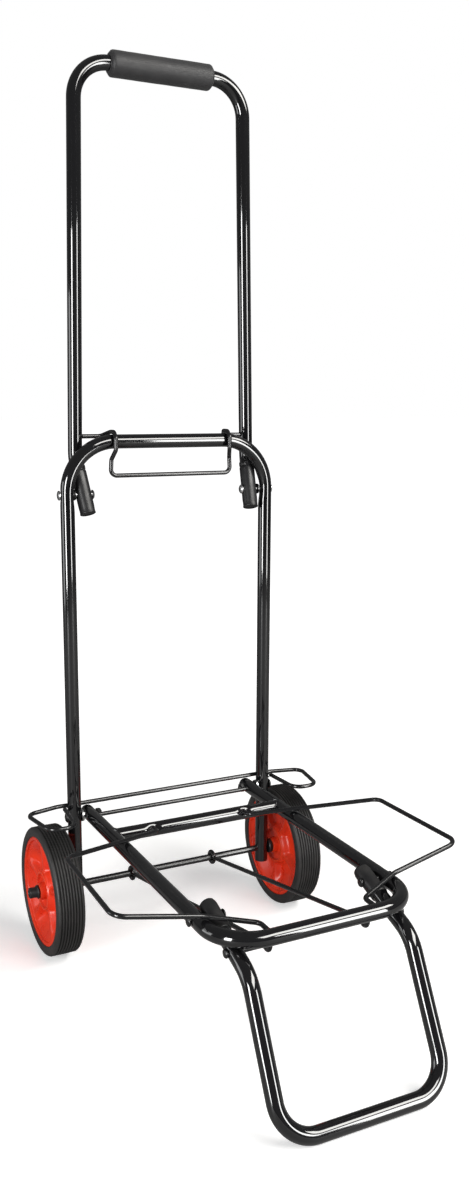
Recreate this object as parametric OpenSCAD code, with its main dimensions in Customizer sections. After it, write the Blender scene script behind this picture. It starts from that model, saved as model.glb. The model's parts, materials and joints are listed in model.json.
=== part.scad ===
// Folding luggage trolley: a two-wheel tube frame with a folding handle,
// a fold-down platform with two wire side wings, a front foot and its stay rods.
// X is left to right, Y runs to the rear, Z is up. The origin is on the floor,
// at the centre of the footprint. Lengths are millimetres.

/* [Back frame] */
// Outer diameter of every frame tube
tube_d = 16; // [14:0.5:20]
// Wall thickness of every frame tube
tube_wall = 1.5; // [1:0.1:2.5]
// Distance between the centre lines of the two back legs
leg_spacing = 250; // [230:1:280]
// Height of the back frame's top bar
arch_z = 596; // [520:1:680]
// Bend radius of the back frame's top corners
arch_bend = 57; // [40:1:60]
// Height of the legs' lower ends
leg_end_z = 58; // [45:1:62]

/* [Wheels] */
// Diameter of the wheels over the tyres
wheel_d = 150; // [130:1:170]
// Width of a wheel
wheel_w = 33; // [28:1:40]
// Depth of the tyre between the hub and the tread
tyre_depth = 11.5; // [8:0.5:16]
// Diameter of the axle rod
axle_d = 8; // [6:0.5:12]
// Thickness of the washer between a leg and its wheel
axle_washer = 5; // [3:0.5:8]
// Number of grooves around a tyre
tread_grooves = 8; // [5:1:10]
// Number of ribs on each face of a hub
hub_ribs = 5; // [3:1:8]

/* [Top handle] */
// Height of the handle's top bar
handle_z = 1000; // [850:5:1100]
// Distance between the handle legs at the top
handle_top_spacing = 202; // [180:1:210]
// Distance between the handle legs at their lower bends
handle_low_spacing = 217; // [205:1:220]
// How far the handle stands behind the back frame
handle_back = 19.2; // [18:0.1:24]
// Bend radius of the handle's top corners
handle_bend = 40; // [30:1:50]
// Bend radius of the handle's lower bends
handle_knee_bend = 40; // [30:1:45]
// Height of the handle pivots
handle_pivot_z = 537; // [480:1:620]
// How far the handle pivots sit behind the legs' centre plane
handle_pivot_back = 3; // [2:0.5:3.5]
// Gap between a back leg and the handle sleeve beside it
handle_gap = 3.2; // [2.4:0.1:6]
// Lean of the handle's lower ends, in degrees
handle_lean = 22; // [20:0.5:26]
// Wall of the sleeves on the handle's and the foot's ends
sleeve_wall = 1; // [0.5:0.1:2]
// How far the sleeves reach above the handle pivots
handle_sleeve_rise = 34; // [25:1:34]
// How far the handle tube reaches below its pivots
handle_sleeve_drop = 21; // [15:1:24]
// Diameter of the foam grip
grip_d = 28; // [24:0.5:34]
// Length of the foam grip
grip_len = 122; // [100:1:122]

/* [Platform] */
// Height of the platform's tubes
platform_z = 160; // [150:1:180]
// Gap between a back leg and the platform rail beside it
rail_gap = 3; // [2:0.5:6]
// Distance from the axle to the platform's front bar
platform_reach = 361; // [330:1:390]
// Bend radius of the platform's front corners
platform_bend = 45; // [35:1:45]
// Distance from the axle to the platform's cross tube
cross_tube_back = 76; // [60:1:100]
// How far the rails run behind their pivots
rail_tail = 9; // [8:0.5:12]

/* [Wires and wings] */
// Diameter of the bent wires
wire_d = 5; // [4:0.1:6]
// Distance between the two wing pivots
wing_pivot_spacing = 116; // [100:1:120]
// How far the wing pivots sit above the platform's centre plane
wing_pivot_rise = 3; // [3:0.1:3.4]
// Upward tilt of the open wings, in degrees
wing_tilt = 9.7; // [9.5:0.1:12]
// Distance between the outer edges of the open wings
wing_span = 394; // [360:1:430]
// Height of the rear rack wire
rack_z = 171; // [171:1:180]

/* [Front foot] */
// Distance from the axle to the foot pivots
foot_pivot_reach = 300; // [270:1:310]
// Distance from the axle to the foot's floor bar
foot_reach = 439; // [410:1:470]
// Gap between a platform rail and the foot tube beside it
foot_gap = 2; // [2:0.5:10]
// Distance from the axle to the foot's knee bend
foot_knee_reach = 374; // [355:1:390]
// Height of the foot's knee bend
foot_knee_z = 134; // [120:1:134]
// How far the foot's ends reach behind their pivots
foot_sleeve_back = 16; // [12:1:18]
// How far the foot's sleeves reach in front of their pivots
foot_sleeve_front = 22; // [15:1:28]
// Bend radius of the foot's floor corners
foot_bend = 35; // [25:1:45]
// Bend radius of the foot's knees
foot_knee_bend = 40; // [30:1:45]
// Distance from the axle to the foot's cross rod
foot_rod_reach = 344; // [335:1:350]
// Diameter of the foot's cross rod
foot_rod_d = 6; // [5:0.5:8]
// Distance between the two stay rods
stay_spacing = 108; // [60:1:112]

/* [Fits] */
// Radial running clearance of the pins and the axle
running = 0.06; // [0.02:0.01:0.1]
// Side gap beside parts that pass each other
side_gap = 0.4; // [0.3:0.05:1]
// Diameter of the pivot rivets and bolts
pin_d = 6; // [5:0.5:6]

/* [Hidden] */
$fn = 64;

paint = [0.03, 0.03, 0.035];
wire_paint = [0.07, 0.07, 0.075];
zinc = [0.72, 0.73, 0.75];
red_plastic = [0.9, 0.09, 0.04];
tyre_black = [0.09, 0.09, 0.095];
foam_grey = [0.2, 0.2, 0.21];

eps = 1;
bend_extra = 0.03;
bend_lap = 0.4;
seat = 0.05;
tube_r = tube_d / 2;
bore_r = tube_r - tube_wall;
seat_r = tube_r + seat;
wire_r = wire_d / 2;
pin_r = pin_d / 2;
pin_bore_r = pin_r + running;
sleeve_r = tube_r + sleeve_wall;
leg_x = leg_spacing / 2;
rail_x = leg_x - tube_d - rail_gap;
axle_z = wheel_d / 2;
axle_r = axle_d / 2;
// The footprint runs from the front of the foot bar to the back of the tyres.
axle_y = (foot_reach + tube_r - axle_z) / 2;
wheel_in = leg_x + tube_r + axle_washer;
wheel_x = wheel_in + wheel_w / 2;
wheel_out = wheel_in + wheel_w;
hub_r = axle_z - tyre_depth;
foot_x = rail_x - tube_d - foot_gap;

// Handle line, from the lower end up to the top corner.
handle_pivot = [leg_x - tube_r - handle_gap - sleeve_r, handle_pivot_back, handle_pivot_z];
handle_knee_rise = (handle_back - handle_pivot_back) / tan(handle_lean);
handle_knee = [handle_low_spacing / 2, handle_back, handle_pivot_z + handle_knee_rise];
handle_dir = (handle_knee - handle_pivot) / norm(handle_knee - handle_pivot);
handle_end = handle_pivot - handle_sleeve_drop * handle_dir;
sleeve_top = handle_pivot + handle_sleeve_rise * handle_dir;
handle_corner = [handle_top_spacing / 2, handle_back, handle_z];

// Foot line, from the upper end down to the floor bar.
foot_pivot = [foot_x, -foot_pivot_reach, platform_z];
foot_knee = [foot_x, -foot_knee_reach, foot_knee_z];
foot_dir = (foot_knee - foot_pivot) / norm(foot_knee - foot_pivot);
foot_end = foot_pivot - foot_sleeve_back * foot_dir;
foot_sleeve_low = foot_pivot + foot_sleeve_front * foot_dir;
foot_corner = [foot_x, -foot_reach, tube_r];
foot_rod_y = -foot_rod_reach;
rod_step = (foot_rod_reach - foot_pivot_reach) / (foot_knee_reach - foot_pivot_reach);
foot_rod_z = platform_z - rod_step * (platform_z - foot_knee_z);
foot_rod_r = foot_rod_d / 2;

// Latch wire line, behind, over and in front of the top bar.
latch_end_x = handle_low_spacing / 2 - 0.5 - tube_r - side_gap;
latch_axis = [handle_back, arch_z + 5.5];
latch_loop_x = 71;

/* Geometry helpers */

function unit(v) = v / norm(v);
function mirrorX(p) = [-p.x, p.y, p.z];
function euler(x, y, z) =
  abs(x.z) > 0.99999
  ? (x.z < 0 ? [atan2(y.x, y.y), 90, 0] : [atan2(-y.x, y.y), -90, 0])
  : [atan2(y.z, z.z), asin(-x.z), atan2(x.y, x.x)];
function turn(a, b, c) = acos(max(-1, min(1, unit(b - a) * unit(c - b))));
function cut(p, radii, i) =
  i <= 0 || i >= len(p) - 1 ? 0 : radii[i] * tan(turn(p[i - 1], p[i], p[i + 1]) / 2);

// A straight bar between two points.
module bar(a, b, r) {
  d = b - a;
  translate(a)
    rotate([0, acos(d.z / norm(d)), atan2(d.y, d.x)])
      cylinder(h = norm(d), r = r);
}

// A bend of radius bend around the corner b, on the way from a to c. Bends are
// a hair thicker than the straights, which reach a little way into them.
module elbow(a, b, c, bend, r) {
  d1 = unit(b - a);
  d2 = unit(c - b);
  angle = turn(a, b, c);
  inward = unit(d2 - (d1 * d2) * d1);
  start = b - d1 * bend * tan(angle / 2);
  translate(start + inward * bend)
    rotate(euler(-inward, d1, cross(-inward, d1)))
      rotate_extrude(angle = angle)
        translate([bend, 0]) circle(r = r + bend_extra);
}

function lap(p, i) = i <= 0 || i >= len(p) - 1 ? 0 : bend_lap;

// A round rod along the points p, bent to radii at the inner points.
module path(p, radii, r) {
  for (i = [0 : len(p) - 2]) {
    d = unit(p[i + 1] - p[i]);
    bar(p[i] + d * (cut(p, radii, i) - lap(p, i)),
      p[i + 1] - d * (cut(p, radii, i + 1) - lap(p, i + 1)), r);
  }
  for (i = [1 : len(p) - 2])
    elbow(p[i - 1], p[i], p[i + 1], radii[i], r);
}

// A tube along the points p, open at both ends.
module pipe(p, radii, r, inner) {
  n = len(p) - 1;
  longer = [for (i = [0 : n])
    i == 0 ? p[0] - eps * unit(p[1] - p[0])
    : i == n ? p[n] + eps * unit(p[n] - p[n - 1])
    : p[i]];
  difference() {
    path(p, radii, r);
    path(longer, radii, inner);
  }
}

module acrossX(x0, x1, r) {
  translate([x0, 0, 0]) rotate([0, 90, 0]) cylinder(h = x1 - x0, r = r);
}

module ring(r_out, r_in, h) {
  difference() {
    cylinder(h = h, r = r_out);
    translate([0, 0, -eps]) cylinder(h = h + 2 * eps, r = r_in);
  }
}

module bothSides() {
  children();
  mirror([1, 0, 0]) children();
}

module atAxle() {
  translate([0, axle_y, 0]) children();
}

/* Back frame */

module back_frame() {
  right = [[leg_x, 0, leg_end_z], [leg_x, 0, arch_z]];
  color(paint)
    atAxle()
      difference() {
        pipe([mirrorX(right[0]), mirrorX(right[1]), right[1], right[0]],
          [0, arch_bend, arch_bend, 0], tube_r, bore_r);
        translate([0, 0, axle_z]) acrossX(-200, 200, axle_r);
        translate([0, 0, platform_z]) acrossX(-200, 200, pin_r);
        translate([0, handle_pivot_back, handle_pivot_z]) acrossX(-200, 200, pin_r);
      }
}

module rear_rack_wire() {
  back = tube_r + wire_r;
  ring_points = [
    [leg_x + tube_r + 4, -1, rack_z], [leg_x + 16, -57, rack_z], [leg_x + 47, -57, rack_z],
    [leg_x + 57, 1, rack_z], [leg_x + 18, back, rack_z],
  ];
  color(wire_paint)
    atAxle()
      path([
        for (i = [0 : 4]) mirrorX(ring_points[i]),
        for (i = [4 : -1 : 0]) ring_points[i],
      ], [0, 15, 15, 12, 30, 30, 12, 15, 15, 0], wire_r);
}

module axle() {
  color(wire_paint)
    translate([0, axle_y, axle_z])
      acrossX(-wheel_out - 5, wheel_out + 5, axle_r);
}

module axle_washers() {
  color(paint)
    translate([0, axle_y, axle_z])
      bothSides()
        translate([leg_x + tube_r, 0, 0])
          rotate([0, 90, 0]) ring(9, axle_r, axle_washer - 0.3);
}

module axle_caps() {
  color(paint)
    translate([0, axle_y, axle_z])
      bothSides()
        translate([wheel_out + 0.3, 0, 0])
          rotate([0, 90, 0])
            difference() {
              union() {
                cylinder(h = 2, r = 8);
                translate([0, 0, 1]) cylinder(h = 10, r = 6.2);
              }
              translate([0, 0, -eps]) cylinder(h = eps + 4.7, r = axle_r);
            }
}

// A round pin along X with a flat head at its outer end.
module headedPin(x_in, x_out, head_r, head_h) {
  acrossX(x_in, x_out, pin_r);
  difference() {
    acrossX(x_out, x_out + head_h, head_r);
    acrossX(x_out + head_h - 0.4, x_out + head_h + eps, head_r / 2);
  }
}

module handle_rivets() {
  color(zinc)
    translate([0, axle_y + handle_pivot_back, handle_pivot_z])
      bothSides()
        union() {
          headedPin(handle_pivot.x - sleeve_r - 1, leg_x + tube_r, 5.5, 2.5);
          acrossX(handle_pivot.x - sleeve_r - 3.5, handle_pivot.x - sleeve_r - 1, 5.5);
        }
}

module rivet_washers() {
  gap_out = leg_x - tube_r;
  color(wire_paint)
    translate([0, axle_y + handle_pivot_back, handle_pivot_z])
      bothSides()
        translate([gap_out - 1.9, 0, 0])
          rotate([0, 90, 0]) ring(6, pin_r, 1.6);
}

module platform_bolts() {
  color(wire_paint)
    translate([0, axle_y, platform_z])
      bothSides()
        headedPin(rail_x - tube_r - 6, leg_x + tube_r, 6, 3.5);
}

module platform_bolt_nuts() {
  color(wire_paint)
    translate([0, axle_y, platform_z])
      bothSides()
        translate([rail_x - tube_r - 0.3 - 4.5, 0, 0])
          rotate([0, 90, 0])
            difference() {
              cylinder(h = 4.5, r = 5.8, $fn = 6);
              translate([0, 0, -eps]) cylinder(h = 4.5 + 2 * eps, r = pin_r);
            }
}

module platform_spacers() {
  gap_in = rail_x + tube_r + 0.3;
  gap_out = leg_x - tube_r;
  color(zinc)
    translate([0, axle_y, platform_z])
      bothSides()
        translate([gap_in, 0, 0])
          rotate([0, 90, 0]) ring(7, pin_r, gap_out - gap_in);
}

/* Wheels */

module hubSolid() {
  rim = 4.5;
  web = 5;
  boss_r = 10;
  half = wheel_w / 2;
  difference() {
    union() {
      translate([0, 0, -half + 1]) ring(hub_r, hub_r - rim, wheel_w - 2);
      translate([0, 0, -web / 2]) cylinder(h = web, r = hub_r - rim + 0.5);
      translate([0, 0, -half]) cylinder(h = wheel_w, r = boss_r);
      translate([0, 0, -half + 3.5]) ring(22.5, 20, wheel_w - 7);
      for (i = [0 : hub_ribs - 1])
        rotate([0, 0, (i + 0.5) * 360 / hub_ribs])
          translate([boss_r - 2, -1.5, -half + 5])
            cube([hub_r - rim - boss_r + 3, 3, wheel_w - 10]);
    }
    translate([0, 0, -half - eps]) cylinder(h = wheel_w + 2 * eps, r = axle_r + running);
  }
}

// Tyre profile: square shoulders with rounded edges and round-bottomed grooves.
module tyreSolid() {
  half = wheel_w / 2;
  tread_half = half - 3;
  pitch = 2 * tread_half / tread_grooves;
  difference() {
    rotate_extrude($fn = 96)
      difference() {
        polygon([
          [hub_r, -half + 1], [hub_r + 3, -half + 0.2], [axle_z - 3.5, -half],
          [axle_z - 1.2, -half + 1], [axle_z - 0.2, -half + 3], [axle_z, -half + 6],
          [axle_z, half - 6], [axle_z - 0.2, half - 3], [axle_z - 1.2, half - 1],
          [axle_z - 3.5, half], [hub_r + 3, half - 0.2], [hub_r, half - 1],
        ]);
        for (i = [0 : tread_grooves - 1])
          translate([axle_z + 0.3, -tread_half + (i + 0.5) * pitch]) circle(r = 1.5, $fn = 24);
      }
  }
}

module wheelPlace(side) {
  translate([side * wheel_x, axle_y, axle_z]) rotate([0, side * 90, 0]) children();
}

module wheel_hub_left() {
  color(red_plastic) wheelPlace(-1) hubSolid();
}

module wheel_hub_right() {
  color(red_plastic) wheelPlace(1) hubSolid();
}

module tyre_left() {
  color(tyre_black) wheelPlace(-1) tyreSolid();
}

module tyre_right() {
  color(tyre_black) wheelPlace(1) tyreSolid();
}

/* Top handle */

function handlePoints() = [
  mirrorX(handle_end), mirrorX(handle_knee), mirrorX(handle_corner),
  handle_corner, handle_knee, handle_end,
];

module top_handle() {
  color(paint)
    atAxle()
      difference() {
        pipe(
          handlePoints(),
          [0, handle_knee_bend, handle_bend, handle_bend, handle_knee_bend, 0],
          tube_r, bore_r
        );
        translate([0, handle_pivot_back, handle_pivot_z]) acrossX(-200, 200, pin_bore_r);
      }
}

module handleSleeve() {
  difference() {
    bar(handle_end - 2 * handle_dir, sleeve_top, sleeve_r);
    bar(handle_end, sleeve_top + eps * handle_dir, seat_r);
    translate([0, handle_pivot_back, handle_pivot_z]) acrossX(0, 200, pin_bore_r);
  }
}

module handle_sleeve_left() {
  color(paint) atAxle() mirror([1, 0, 0]) handleSleeve();
}

module handle_sleeve_right() {
  color(paint) atAxle() handleSleeve();
}

module foam_grip() {
  half = grip_len / 2;
  color(foam_grey)
    translate([0, axle_y + handle_back, handle_z])
      rotate([0, 90, 0])
        rotate_extrude()
          polygon([
            [seat_r, -half], [grip_d / 2 - 3, -half], [grip_d / 2, -half + 3],
            [grip_d / 2, half - 3], [grip_d / 2 - 3, half], [seat_r, half],
          ]);
}

module latch_wire() {
  y0 = latch_axis[0];
  z0 = latch_axis[1];
  over = tube_r + wire_r + 0.3;
  right = [
    [latch_end_x, y0, z0], [latch_loop_x + 7, y0, z0],
    [latch_loop_x, 4, arch_z + over], [latch_loop_x, -6.5, arch_z + over],
    [latch_loop_x, -over - 1.6, arch_z + 4], [latch_loop_x, -over - 1.2, arch_z - 9],
    [latch_loop_x + 3, -5, arch_z - 20], [latch_loop_x + 4, -5, arch_z - 38],
  ];
  color(wire_paint)
    atAxle()
      path([
        for (i = [0 : 7]) mirrorX(right[i]),
        for (i = [7 : -1 : 0]) right[i],
      ], [0, 5, 5, 5, 5, 5, 5, 7, 7, 5, 5, 5, 5, 5, 5, 0], wire_r);
}

/* Platform */

module wingPivotHoles() {
  bothSides()
    translate([wing_pivot_spacing / 2, 0, platform_z + wing_pivot_rise])
      rotate([90, 0, 0])
        translate([0, 0, cross_tube_back])
          cylinder(h = platform_reach - cross_tube_back, r = wire_r + running);
}

module platform_frame() {
  right = [[rail_x, rail_tail, platform_z], [rail_x, -platform_reach, platform_z]];
  color(paint)
    atAxle()
      difference() {
        pipe([mirrorX(right[0]), mirrorX(right[1]), right[1], right[0]],
          [0, platform_bend, platform_bend, 0], tube_r, bore_r);
        translate([0, 0, platform_z]) acrossX(-200, 200, pin_bore_r);
        translate([0, -foot_pivot_reach, platform_z]) acrossX(-200, 200, pin_r);
        wingPivotHoles();
      }
}

module cross_tube() {
  color(paint)
    atAxle()
      difference() {
        translate([0, -cross_tube_back, platform_z])
          difference() {
            acrossX(-rail_x, rail_x, tube_r);
            acrossX(-rail_x - eps, rail_x + eps, bore_r);
          }
        bothSides()
          translate([rail_x, 0, platform_z])
            rotate([90, 0, 0]) cylinder(h = 2 * cross_tube_back, r = tube_r + 0.1);
        wingPivotHoles();
      }
}

module platform_cross_wire() {
  color(wire_paint)
    atAxle()
      difference() {
        translate([0, -9, platform_z + 1]) acrossX(-rail_x + 4, rail_x - 4, wire_r);
        bothSides()
          translate([rail_x, eps, platform_z])
            rotate([90, 0, 0]) cylinder(h = 30, r = tube_r + 0.1);
      }
}

// Domed plugs that close the rails' rear ends.
module rail_end_plugs() {
  color(paint)
    atAxle()
      bothSides()
        translate([rail_x, rail_tail + seat, platform_z])
          rotate([-90, 0, 0])
            rotate_extrude()
              difference() {
                union() {
                  translate([0, -6]) square([bore_r - seat, 7]);
                  intersection() {
                    circle(r = tube_r);
                    square([tube_r, tube_r]);
                  }
                }
                translate([-eps, -6 - eps]) square([eps, 40]);
              }
}

module foot_pivot_pins() {
  inner = foot_x - sleeve_r;
  color(wire_paint)
    translate([0, axle_y - foot_pivot_reach, platform_z])
      bothSides()
        union() {
          headedPin(inner - 0.4, rail_x + tube_r, 5, 2.5);
          acrossX(inner - 2.6, inner - 0.4, 5);
        }
}

module wingWire() {
  px = wing_pivot_spacing / 2;
  out = wing_span / 2 - wire_r - px;
  span = [
    [0, -cross_tube_back + 3, 0], [0, -cross_tube_back - 15, 0],
    [out - 3, -166, 0], [out, -309, 0], [50, -317, 0],
    [0, -platform_reach + 24, 0], [0, -platform_reach - 3, 0],
  ];
  translate([px, 0, platform_z + wing_pivot_rise])
    rotate([0, -wing_tilt, 0])
      path(span, [0, 7, 14, 14, 20, 7, 0], wire_r);
}

module wing_wire_left() {
  color(wire_paint) atAxle() mirror([1, 0, 0]) wingWire();
}

module wing_wire_right() {
  color(wire_paint) atAxle() wingWire();
}

/* Front foot */

module foot_tube() {
  color(paint)
    atAxle()
      difference() {
        pipe([
          mirrorX(foot_end), mirrorX(foot_knee), mirrorX(foot_corner),
          foot_corner, foot_knee, foot_end,
        ], [0, foot_knee_bend, foot_bend, foot_bend, foot_knee_bend, 0], tube_r, bore_r);
        translate([0, -foot_pivot_reach, platform_z]) acrossX(-200, 200, pin_bore_r);
        translate([0, foot_rod_y, foot_rod_z])
          bothSides()
            acrossX(foot_x, 200, foot_rod_r);
      }
}

module footSleeve() {
  difference() {
    bar(foot_end - 2 * foot_dir, foot_sleeve_low, sleeve_r);
    bar(foot_end, foot_sleeve_low + eps * foot_dir, seat_r);
    translate([0, -foot_pivot_reach, platform_z]) acrossX(0, 200, pin_bore_r);
  }
}

module foot_sleeve_left() {
  color(paint) atAxle() mirror([1, 0, 0]) footSleeve();
}

module foot_sleeve_right() {
  color(paint) atAxle() footSleeve();
}

module foot_rod_heads() {
  color(wire_paint)
    translate([0, axle_y + foot_rod_y, foot_rod_z])
      bothSides()
        union() {
          acrossX(foot_x + 2, foot_x + tube_r + 1.2, foot_rod_r);
          acrossX(foot_x + tube_r + seat, foot_x + tube_r + 3, foot_rod_r + 1.5);
        }
}

module foot_cross_rod() {
  reach = foot_x - tube_r - side_gap;
  color(wire_paint)
    translate([0, axle_y + foot_rod_y, foot_rod_z])
      acrossX(-reach, reach, foot_rod_r);
}

// A stay rod: an eye that turns on the axle, a shank, and an eye around the cross rod.
module stayRod() {
  rear = [stay_spacing / 2, 0, axle_z];
  front = [stay_spacing / 2, foot_rod_y, foot_rod_z];
  d = unit(front - rear);
  eye_rear = axle_r + running + wire_r;
  eye_front = foot_rod_r + 0.05 + wire_r;
  bar(rear + d * eye_rear, front - d * eye_front, wire_r);
  translate(rear)
    rotate([0, 90, 0]) rotate_extrude() translate([eye_rear, 0]) circle(r = wire_r);
  translate(front)
    rotate([0, 90, 0]) rotate_extrude() translate([eye_front, 0]) circle(r = wire_r);
}

module stay_rod_left() {
  color(wire_paint) atAxle() mirror([1, 0, 0]) stayRod();
}

module stay_rod_right() {
  color(wire_paint) atAxle() stayRod();
}

back_frame();
rear_rack_wire();
axle();
axle_washers();
axle_caps();
handle_rivets();
rivet_washers();
platform_bolts();
platform_bolt_nuts();
platform_spacers();
wheel_hub_left();
wheel_hub_right();
tyre_left();
tyre_right();
top_handle();
handle_sleeve_left();
handle_sleeve_right();
foam_grip();
latch_wire();
platform_frame();
cross_tube();
platform_cross_wire();
rail_end_plugs();
foot_pivot_pins();
wing_wire_left();
wing_wire_right();
foot_tube();
foot_sleeve_left();
foot_sleeve_right();
foot_rod_heads();
foot_cross_rod();
stay_rod_left();
stay_rod_right();
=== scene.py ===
import json
import math
import bmesh
import bpy
from mathutils import Matrix, Vector, noise


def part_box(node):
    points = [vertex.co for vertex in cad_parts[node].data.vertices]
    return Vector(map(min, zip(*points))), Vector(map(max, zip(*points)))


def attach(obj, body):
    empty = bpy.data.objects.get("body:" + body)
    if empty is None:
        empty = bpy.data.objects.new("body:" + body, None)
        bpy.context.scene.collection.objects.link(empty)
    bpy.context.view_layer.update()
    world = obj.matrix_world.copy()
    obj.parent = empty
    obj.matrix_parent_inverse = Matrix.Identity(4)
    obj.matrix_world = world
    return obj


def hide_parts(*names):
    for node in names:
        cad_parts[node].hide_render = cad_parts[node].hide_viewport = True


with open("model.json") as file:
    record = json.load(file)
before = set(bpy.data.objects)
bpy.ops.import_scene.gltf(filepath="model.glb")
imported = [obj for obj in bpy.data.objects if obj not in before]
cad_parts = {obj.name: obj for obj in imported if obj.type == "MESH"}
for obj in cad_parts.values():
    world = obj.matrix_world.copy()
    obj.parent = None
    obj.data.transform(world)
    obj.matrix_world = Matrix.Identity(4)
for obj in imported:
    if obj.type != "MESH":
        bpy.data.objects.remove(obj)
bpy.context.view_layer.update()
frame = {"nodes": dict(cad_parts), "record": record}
scene = bpy.context.scene
scene.view_settings.view_transform = "Standard"
print("frame loaded:", len(frame["nodes"]), "nodes")

mm = 0.001
axleLow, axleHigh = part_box("axle")
axleY = (axleLow.y + axleHigh.y) / 2


def place(x, y, z):
    # millimetres from the point on the floor under the axle's middle
    return Vector((x * mm, axleY + y * mm, z * mm))


# camera

camera = {"at": (-0.5114, -0.9903, 0.6443), "yaw": 26.869, "down": 10.401, "roll": 0.266, "lens": 32.93}


def makeCamera(c):
    yaw, down, roll = (math.radians(c[k]) for k in ("yaw", "down", "roll"))
    ahead = Vector((math.sin(yaw) * math.cos(down), math.cos(yaw) * math.cos(down), -math.sin(down)))
    right = Vector((math.cos(yaw), -math.sin(yaw), 0))
    up = right.cross(ahead)
    right, up = right * math.cos(roll) + up * math.sin(roll), up * math.cos(roll) - right * math.sin(roll)
    data = bpy.data.cameras.new("camera")
    data.sensor_width = 36
    data.lens = c["lens"]
    obj = bpy.data.objects.new("camera", data)
    scene.collection.objects.link(obj)
    turn = Matrix((right, up, -ahead)).transposed().to_4x4()
    obj.matrix_world = Matrix.Translation(c["at"]) @ turn
    scene.camera = obj


makeCamera(camera)


# shader helpers and shared groups

def addNode(tree, kind, inputs=None, **settings):
    node = tree.nodes.new(kind)
    for name, value in settings.items():
        setattr(node, name, value)
    for name, value in (inputs or {}).items():
        socket = node.inputs[name]
        if isinstance(value, bpy.types.NodeSocket):
            tree.links.new(value, socket)
        else:
            socket.default_value = value
    return node


def maths(tree, operation, a, b=0.0, clamp=False):
    node = addNode(tree, "ShaderNodeMath", {0: a, 1: b}, operation=operation, use_clamp=clamp)
    return node.outputs[0]


def fade(tree, value, low, high, start=0.0, end=1.0):
    # maps low..high to start..end with soft ends
    node = addNode(tree, "ShaderNodeMapRange", {
        "Value": value, "From Min": low, "From Max": high, "To Min": start, "To Max": end,
    }, interpolation_type="SMOOTHSTEP")
    return node.outputs["Result"]


def shaderGroup(name, inputs, outputs):
    tree = bpy.data.node_groups.new(name, "ShaderNodeTree")
    for label, value in inputs.items():
        socket = tree.interface.new_socket(label, in_out="INPUT", socket_type="NodeSocketFloat")
        socket.default_value = value
    for label in outputs:
        tree.interface.new_socket(label, in_out="OUTPUT", socket_type="NodeSocketFloat")
    return tree, tree.nodes.new("NodeGroupInput").outputs, tree.nodes.new("NodeGroupOutput").inputs


def objectPoint(tree):
    return addNode(tree, "ShaderNodeTexCoord").outputs["Object"]


def noiseAt(tree, point, scale, detail=3.0, roughness=0.5):
    return addNode(tree, "ShaderNodeTexNoise", {
        "Vector": point, "Scale": scale, "Detail": detail, "Roughness": roughness,
    }).outputs["Fac"]


def buildPaintSkin():
    # slow ripple of the sprayed coat with a few nibs of dust in it
    tree, given, result = shaderGroup("paintSkin", {"Ripple Scale": 300, "Nib Scale": 900, "Nibs": 0.3},
                                      ["Height", "Tone"])
    point = objectPoint(tree)
    ripple = noiseAt(tree, point, given["Ripple Scale"], 2.0)
    specks = addNode(tree, "ShaderNodeTexVoronoi", {"Vector": point, "Scale": given["Nib Scale"]})
    nibs = fade(tree, specks.outputs["Distance"], 0.05, 0.22, 1.0, 0.0)
    rare = fade(tree, noiseAt(tree, point, 60, 1.0), 0.58, 0.68)
    nibs = maths(tree, "MULTIPLY", maths(tree, "MULTIPLY", nibs, rare), given["Nibs"])
    tree.links.new(maths(tree, "ADD", ripple, nibs), result["Height"])
    tree.links.new(noiseAt(tree, point, 14, 4.0, 0.6), result["Tone"])
    return tree


def buildScuffs():
    # short rubbed marks and fine hairlines from handling
    tree, given, result = shaderGroup("scuffs", {"Scale": 40, "Amount": 0.5, "Hairlines": 0.5}, ["Mask"])
    point = objectPoint(tree)
    patches = noiseAt(tree, point, given["Scale"], 6.0, 0.7)
    patches = fade(tree, patches, 0.62, 0.78)
    stretched = addNode(tree, "ShaderNodeMapping",
                        {"Vector": point, "Rotation": (0.5, 0.9, 0.3), "Scale": (220, 1400, 60)})
    lines = noiseAt(tree, stretched.outputs[0], 1.0, 2.0)
    lines = fade(tree, lines, 0.7, 0.76)
    both = maths(tree, "ADD", maths(tree, "MULTIPLY", patches, given["Amount"]),
                 maths(tree, "MULTIPLY", lines, given["Hairlines"]), clamp=True)
    tree.links.new(both, result["Mask"])
    return tree


def buildEdgeRub():
    # where an edge is sharp the finish is thinner and paler
    tree, given, result = shaderGroup("edgeRub", {"Radius": 0.001, "Low": 0.02, "High": 0.3}, ["Mask"])
    rounded = addNode(tree, "ShaderNodeBevel", {"Radius": given["Radius"]}, samples=6)
    plain = addNode(tree, "ShaderNodeNewGeometry").outputs["Normal"]
    dot = addNode(tree, "ShaderNodeVectorMath", {0: rounded.outputs[0], 1: plain}, operation="DOT_PRODUCT")
    off = maths(tree, "SUBTRACT", 1.0, dot.outputs["Value"])
    uneven = noiseAt(tree, objectPoint(tree), 120, 4.0, 0.7)
    off = maths(tree, "MULTIPLY", off, maths(tree, "ADD", uneven, 0.5))
    node = addNode(tree, "ShaderNodeMapRange",
                   {"Value": off, "From Min": given["Low"], "From Max": given["High"]})
    tree.links.new(node.outputs[0], result["Mask"])
    return tree


def buildSettledDust():
    # thin dust on what faces up, thicker in slow patches
    tree, given, result = shaderGroup("settledDust", {"Scale": 12, "Amount": 0.4}, ["Mask"])
    coordinates = addNode(tree, "ShaderNodeTexCoord")
    facing = addNode(tree, "ShaderNodeSeparateXYZ", {0: coordinates.outputs["Normal"]}).outputs["Z"]
    up = fade(tree, facing, 0.1, 1.0)
    patches = fade(tree, noiseAt(tree, coordinates.outputs["Object"], given["Scale"], 5.0, 0.65), 0.35, 0.75)
    mask = maths(tree, "MULTIPLY", maths(tree, "MULTIPLY", up, patches), given["Amount"])
    tree.links.new(mask, result["Mask"])
    return tree


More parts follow.
